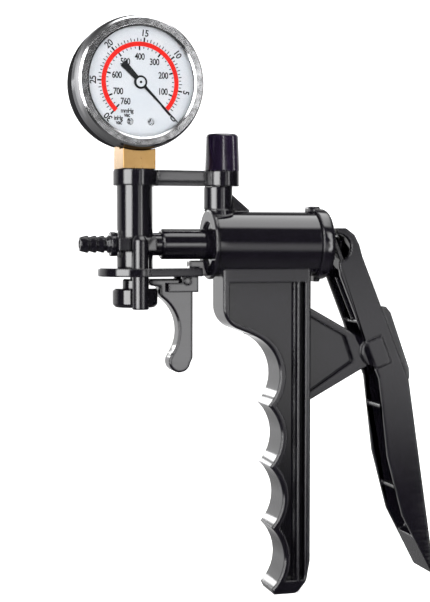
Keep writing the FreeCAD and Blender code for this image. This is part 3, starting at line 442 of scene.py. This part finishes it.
def lettering():
    """Every figure and unit on the dial: text, place, turn, size and width, in the dial's plane."""
    for inches in (0, *INCH_FIGURES):
        angle = math.radians(scale_angle(inches) if inches else ZERO_ANGLE)
        spot = Vector((math.cos(angle), math.sin(angle))) * INCH_FIGURE_RADIUS
        yield str(inches), spot, angle - math.pi / 2, FIGURE_SIZE, 0.95
    for reading in MM_FIGURES:
        aside = 6 if reading == MM_FIGURES[-1] else 0
        angle = math.radians(scale_angle(reading / MM_PER_INCH) + aside)
        spot = Vector((math.cos(angle), math.sin(angle))) * MM_FIGURE_RADIUS
        yield str(reading), spot, 0, FIGURE_SIZE, 0.8
    units = (("mmHg", (-4.5, -9.3)), ("vac", (-4.5, -10.6)),
             ("inHg", (-7.4, -11.7)), ("vac", (-7.2, -13.1)))
    for word, spot in units:
        yield word, Vector(spot) * MM, 0, UNIT_SIZE, 0.85


def figures_mesh():
    """All the dial's figures as one printed mesh."""
    joined = bmesh.new()
    for text, spot, turn, size, width in lettering():
        data = bpy.data.curves.new("figure", "FONT")
        data.body, data.size, data.extrude, data.offset = text, size, INK / 2, STROKE_GAIN
        data.align_x, data.align_y = "CENTER", "CENTER"
        data.space_character, data.resolution_u = 0.92, 3
        holder = bpy.data.objects.new("figure", data)
        bpy.context.collection.objects.link(holder)
        scene_state = bpy.context.evaluated_depsgraph_get()
        mesh = bpy.data.meshes.new_from_object(holder.evaluated_get(scene_state))
        squeeze = Matrix.Diagonal((width, 1.0, 1.0, 1.0))
        mesh.transform(Matrix.Translation((*spot, INK / 2)) @ Matrix.Rotation(turn, 4, "Z") @ squeeze)
        joined.from_mesh(mesh)
        bpy.data.objects.remove(holder)
        bpy.data.meshes.remove(mesh)
    mesh = bpy.data.meshes.new("dial_figures")
    joined.to_mesh(mesh)
    joined.free()
    return mesh


def make_dial(materials):
    """Prints the scale on the dial, each ink just above the last."""
    face = dial_matrix(depth("gauge_dial"))
    prints = [
        ("dial_arc", mesh_from("dial_arc", fill_arc), "ink_red"),
        ("dial_main_ticks", mesh_from("dial_main_ticks", fill_main_ticks), "ink_black"),
        ("dial_fine_ticks", mesh_from("dial_fine_ticks", fill_fine_ticks), "ink_black"),
        ("dial_figures", figures_mesh(), "ink_black"),
    ]
    for layer, (name, mesh, ink) in enumerate(prints):
        lift = Matrix.Translation((0, 0, 0.004 * MM * layer))
        add_piece(name, mesh, materials[ink], "pump", face @ lift)


SCREW_RADIUS = 1.15 * MM


def screw_head(made):
    """A low domed head."""
    lathe(made, [(0, -0.1 * MM), (0.96 * SCREW_RADIUS, -0.1 * MM), (SCREW_RADIUS, 0.15 * MM),
                 (0.87 * SCREW_RADIUS, 0.38 * MM), (0.52 * SCREW_RADIUS, 0.5 * MM), (0, 0.54 * MM)])


def slot_block(made):
    """The screwdriver slot's volume."""
    bmesh.ops.create_cube(made, size=1, matrix=Matrix.Translation((0, 0, 0.5 * MM))
                          @ Matrix.Diagonal((3 * MM, 0.36 * MM, 0.5 * MM, 1)))


def carved(mesh, cutter_mesh):
    """The mesh with another mesh's volume cut out of it."""
    obj, cutter = (bpy.data.objects.new("carving", part) for part in (mesh, cutter_mesh))
    for part in (obj, cutter):
        bpy.context.collection.objects.link(part)
    cut = obj.modifiers.new("cut", "BOOLEAN")
    cut.operation, cut.object, cut.solver = "DIFFERENCE", cutter, "EXACT"
    bpy.context.view_layer.update()
    done = bpy.data.meshes.new_from_object(obj.evaluated_get(bpy.context.evaluated_depsgraph_get()))
    for part in (obj, cutter):
        bpy.data.objects.remove(part)
    return done


def make_dial_screws(materials):
    """The two slotted screws that hold the dial."""
    box_low, box_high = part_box("dial_screws")
    height = (box_low.z + box_high.z) / 2 - DIAL_CENTRE.z
    reach = (box_high.x - box_low.x) / 2 - SCREW_RADIUS
    for name, side, turn in (("dial_screw_left", -1, 25), ("dial_screw_right", 1, 70)):
        mesh = carved(mesh_from(name, screw_head), mesh_from("slot", slot_block))
        place = (dial_matrix(depth("gauge_dial")) @ Matrix.Translation((side * reach, height, 0))
                 @ Matrix.Rotation(math.radians(turn), 4, "Z"))
        add_piece(name, mesh, materials["steel"], "pump", place)
    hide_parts("dial_screws")


def hub_cap(made):
    """A thin round disc with a broken edge."""
    lathe(made, [(0, 0), (1.5 * MM, 0), (1.5 * MM, 0.05 * MM), (1.42 * MM, 0.08 * MM), (0, 0.08 * MM)])


def hub_dot(made):
    """The arbor's end, turned to a low point."""
    lathe(made, [(0, 0), (0.42 * MM, 0), (0.4 * MM, 0.05 * MM), (0.2 * MM, 0.1 * MM), (0, 0.11 * MM)], 32)


def make_hub(materials):
    """The white disc on the pointer's hub and the dark end of the arbor in it."""
    top = depth("pointer")
    for name, builder, finish, lift in (("hub_disc", hub_cap, "dial_white", 0),
                                        ("hub_dot", hub_dot, "pointer_black", 0.08 * MM)):
        add_piece(name, mesh_from(name, builder), materials[finish], "pointer",
                  dial_matrix(top + lift))


# ---------------------------------------------------------------- springs

WIRE_SIDES = 12
STEPS_PER_TURN = 36


def coil_mesh(name, mean, wire, turns, length):
    """A round-wire spring along +Z from 0 to its length, with flat end faces on the wire."""
    made = bmesh.new()
    steps = int(turns * STEPS_PER_TURN)
    rise = (length - 2 * wire) / steps
    rings = []
    for step in range(steps + 1):
        angle = 2 * math.pi * step / STEPS_PER_TURN
        outward = Vector((math.cos(angle), math.sin(angle), 0))
        centre = outward * mean + Vector((0, 0, wire + step * rise))
        rings.append([made.verts.new(centre + wire * (
            outward * math.cos(turn) + Vector((0, 0, math.sin(turn)))))
            for turn in (2 * math.pi * side / WIRE_SIDES for side in range(WIRE_SIDES))])
    for near, far in zip(rings, rings[1:]):
        for side in range(WIRE_SIDES):
            after = (side + 1) % WIRE_SIDES
            made.faces.new((near[side], near[after], far[after], far[side]))
    made.faces.new(rings[0])
    made.faces.new(rings[-1])
    bmesh.ops.recalc_face_normals(made, faces=made.faces)
    for face in made.faces:
        face.smooth = len(face.verts) == 4
    mesh = bpy.data.meshes.new(name)
    made.to_mesh(mesh)
    made.free()
    return mesh


def make_spring(materials, name, turns, wire, axis):
    """A wound spring in place of the plain CAD one."""
    low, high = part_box(name)
    axis, centre, size = Vector(axis), (low + high) / 2, high - low
    length, across = size.dot(axis), size.yzx.dot(axis)
    half = axis * length / 2
    turn = Vector((0, 0, 1)).rotation_difference(axis)
    place = Matrix.Translation(centre - half) @ turn.to_matrix().to_4x4()
    mesh = coil_mesh(name + "_coil", across / 2 - wire, wire, turns, length)
    coil = add_piece(name + "_coil", mesh, materials["steel"], "pump", place)
    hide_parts(name)
    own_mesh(coil)


# ---------------------------------------------------------------- stage and light

FLOOR_Z = CAD_BOX[0].z
ROOM_RADIUS = 4.0


def stage_material(name, glow):
    """Pale matt paper that glows a little near the pump and fully far from it."""
    material, tree, shader = new_material(name)
    patches = noise(tree, 6, 2)
    pale = mix_colour(tree, remap(tree, patches, 0.3, 0.7, 0, 1), (0.86, 0.86, 0.86), (0.9, 0.9, 0.9))
    feed(tree, shader, Base_Color=pale, Roughness=remap(tree, patches, 0.3, 0.7, 0.7, 0.9))
    shader.inputs["Emission Color"].default_value = (1, 1, 1, 1)
    place = node(tree, "ShaderNodeTexCoord").outputs["Object"]
    away = node(tree, "ShaderNodeVectorMath", {0: place}, operation="LENGTH").outputs["Value"]
    feed(tree, shader, Emission_Strength=remap(tree, away, 0.4, 1.2, glow, 1.0, True))
    return material


def fill_floor(made):
    """A wide round floor."""
    bmesh.ops.create_circle(made, cap_ends=True, segments=96, radius=ROOM_RADIUS)


def fill_room(made):
    """A round wall and ceiling far outside the pump and the cameras."""
    bmesh.ops.create_uvsphere(made, u_segments=64, v_segments=32, radius=ROOM_RADIUS)


def make_stage():
    """A pale floor, and a white surround that only the camera sees."""
    centre = (CAD_BOX[0] + CAD_BOX[1]) / 2
    floor = bpy.data.objects.new("floor", mesh_from("floor", fill_floor))
    floor.data.materials.append(stage_material("floor_paper", 0.55))
    floor.location = (centre.x, 0, FLOOR_Z)
    floor.visible_glossy = False
    room = bpy.data.objects.new("backdrop", mesh_from("backdrop", fill_room))
    room.data.materials.append(stage_material("backdrop_paper", 1.0))
    room.location = (centre.x, 0, FLOOR_Z)
    room.visible_glossy = room.visible_diffuse = room.visible_shadow = False
    room.visible_transmission = False
    for obj in (floor, room):
        bpy.context.collection.objects.link(obj)


def height_ramp(tree, height, stops):
    """Brightness against the height of the direction, -1 straight down to 1 straight up."""
    made = node(tree, "ShaderNodeValToRGB", {"Fac": remap(tree, height, -1, 1, 0, 1)})
    ramp = made.color_ramp
    while len(ramp.elements) < len(stops):
        ramp.elements.new(0.5)
    for element, (elevation, value) in zip(ramp.elements, stops):
        element.position = (math.sin(math.radians(elevation)) + 1) / 2
        element.color = (value, value, value, 1)
    return made.outputs["Color"]


def make_world():
    """Soft surroundings: bright low behind the pump, dim in front of it and below."""
    world = bpy.data.worlds.new("studio")
    bpy.context.scene.world = world
    world.use_nodes = True
    tree = world.node_tree
    direction = node(tree, "ShaderNodeTexCoord").outputs["Generated"]
    split = node(tree, "ShaderNodeSeparateXYZ", {0: direction})
    brightest = 3.0
    behind = height_ramp(tree, split.outputs["Z"], [
        (-90, 0.03), (-50, 0.05), (-22, 0.12), (-12, 0.34), (0, 0.4), (8, 0.5), (22, 0.45),
        (30, 0.15), (40, 0.05), (90, 0.05)])
    front = height_ramp(tree, split.outputs["Z"], [
        (-90, 0.06), (-60, 0.05), (-40, 0.015), (-5, 0.02), (10, 0.02), (40, 0.03), (90, 0.05)])
    turn = remap(tree, split.outputs["Y"], 0.2, 0.6, 0, 1, True)
    both = mix_colour(tree, turn, front, behind)
    shader = tree.nodes["Background"]
    tree.links.new(both, shader.inputs["Color"])
    shader.inputs["Strength"].default_value = brightest


def softbox(name, place, target, size, radiance, soft):
    """A rectangular soft light; soft gives the share of its width and height that fades out."""
    data = bpy.data.lights.new(name, "AREA")
    data.shape, (data.size, data.size_y) = "RECTANGLE", size
    data.energy = radiance * math.pi * size[0] * size[1]
    data.use_nodes = True
    tree = data.node_tree
    spot = node(tree, "ShaderNodeSeparateXYZ", {
        0: node(tree, "ShaderNodeNewGeometry").outputs["Parametric"]})
    fade = 1.0
    for part, share in zip((spot.outputs["X"], spot.outputs["Y"]), soft):
        inward = math_node(tree, "MINIMUM", part, math_node(tree, "SUBTRACT", 1, part))
        fade = math_node(tree, "MULTIPLY", fade, remap(tree, inward, 0, share, 0, 1, True))
    tree.links.new(fade, tree.nodes["Emission"].inputs["Strength"])
    light = bpy.data.objects.new(name, data)
    bpy.context.collection.objects.link(light)
    light.location = place
    light.rotation_mode = "QUATERNION"
    light.rotation_quaternion = (Vector(target) - Vector(place)).to_track_quat("-Z", "Y")
    light.visible_camera = False
    return light


def round_the_pump(azimuth, distance, height):
    """A place at an azimuth (degrees, 0 in front, positive to the right) and a distance."""
    angle = math.radians(azimuth)
    return Vector((0.03 + distance * math.sin(angle), -distance * math.cos(angle), height))


def behind_the_pump(azimuth, elevation, distance):
    """A place behind the pump, at an azimuth (0 straight back, positive to the right)."""
    turn, rise = math.radians(azimuth), math.radians(elevation)
    return Vector((0.03 + distance * math.sin(turn) * math.cos(rise),
                   distance * math.cos(turn) * math.cos(rise), distance * math.sin(rise) - 0.06))


def link_light(light, pieces, state):
    """Keeps a light off some pieces (EXCLUDE), or on those pieces alone (INCLUDE)."""
    group = bpy.data.collections.new(light.name + "_link")
    for piece in pieces:
        group.objects.link(piece)
    for member in group.collection_objects:
        member.light_linking.link_state = state
    light.light_linking.receiver_collection = group


def make_lights():
    """Soft studio light that draws the bands along the glossy mouldings."""
    middle = Vector((0.03, 0, -0.02))
    cap, glass = NODES["post_cap"], NODES["gauge_glass"]
    left = softbox("left_box", round_the_pump(-51, 0.8, 0.15), middle, (0.68, 1.1), 12.5, (0.1, 0.15))
    right = softbox("right_strip", round_the_pump(31, 2.5, 0.3), middle, (0.42, 3.2), 7, (0.25, 0.2))
    softbox("top_box", (0.25, 0.0, 0.9), (0.06, 0, 0), (1.3, 1.1), 5, (0.2, 0.35))
    softbox("front_card", (0.15, -0.27, -0.05), (0.15, 0, -0.05), (0.24, 0.2), 1.5, (0.2, 0.45))
    softbox("small_card", (0.176, -0.6, -0.02), (0.176, 0, -0.02), (0.06, 0.22), 3.7, (0.15, 0.15))
    softbox("low_window", behind_the_pump(-17, 10, 1.2), middle, (0.2, 0.1), 6.5, (0.06, 0.06))
    softbox("high_window", behind_the_pump(-7, 17, 1.2), middle, (0.3, 0.13), 6.5, (0.06, 0.06))
    for light in (left, right):
        link_light(light, (cap, glass), "EXCLUDE")
    for name, azimuth, width in (("cap_strip", -3, 0.13), ("cap_edge_strip", 71, 0.1)):
        strip = softbox(name, round_the_pump(azimuth, 1.0, 0.1), (0.045, 0, 0.06), (width, 1.4), 11,
                        (0.1, 0.2))
        link_light(strip, (cap,), "INCLUDE")
    fill = softbox("front_fill", (0.0, -0.9, 0.2), middle, (0.7, 0.7), 4.5, (0.3, 0.3))
    fill.visible_glossy = False


# ---------------------------------------------------------------- build

def main():
    scene = bpy.context.scene
    scene.view_settings.view_transform = "Standard"
    make_camera()
    make_stage()
    make_world()
    make_lights()
    materials = make_materials()
    slots = slot_of_node()
    for name in NODES:
        finish_node(name, materials[slots[name]])
    make_dial(materials)
    make_dial_screws(materials)
    make_hub(materials)
    make_spring(materials, "return_spring", 6, 0.5 * MM, (1, 0, 0))
    make_spring(materials, "stem_spring", 4, 0.28 * MM, (0, 0, 1))


main()
